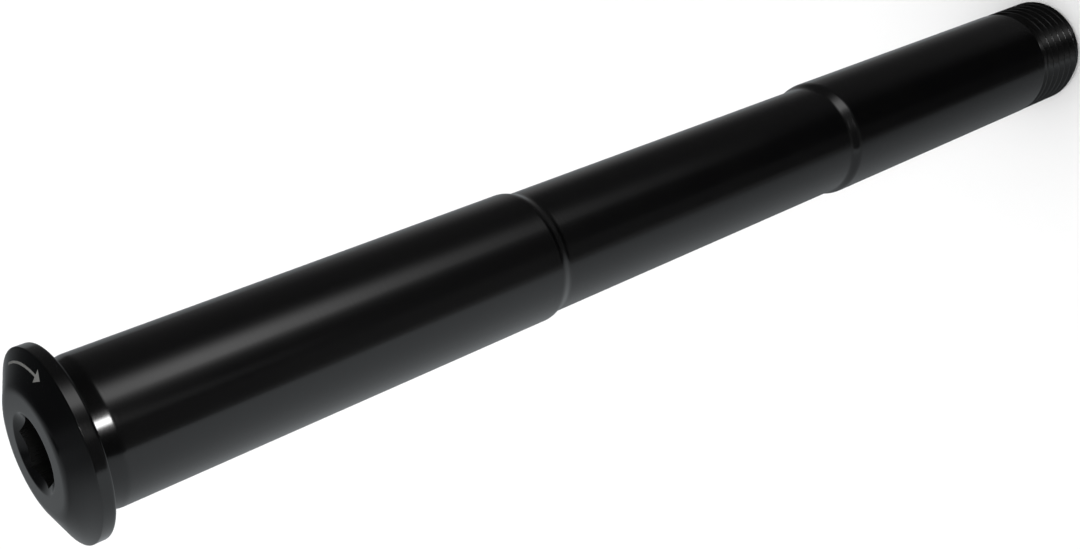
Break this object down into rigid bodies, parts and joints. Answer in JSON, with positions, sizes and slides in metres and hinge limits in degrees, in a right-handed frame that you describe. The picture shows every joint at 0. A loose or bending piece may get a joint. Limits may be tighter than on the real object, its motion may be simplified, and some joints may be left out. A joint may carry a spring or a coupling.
{
  "type": "bicycle thru axle",
  "caption": "Hollow black anodised bicycle thru axle: low conical head with a hex socket, smooth journals either side of a waisted middle, and a short fine thread at the tip.",
  "frame": {"origin": "centre of the end face at the threaded tip, on the axle's axis", "axes": "+Z along the axle's axis, from the threaded tip up to the head; +X through a corner of the hex socket"},
  "size_m": [0.019, 0.019, 0.161],
  "materials": {
    "black_anodised_alloy": "gloss black anodised"
  },
  "bodies": {
    "root": {"axle": "black_anodised_alloy"}
  },
  "joints": []
}
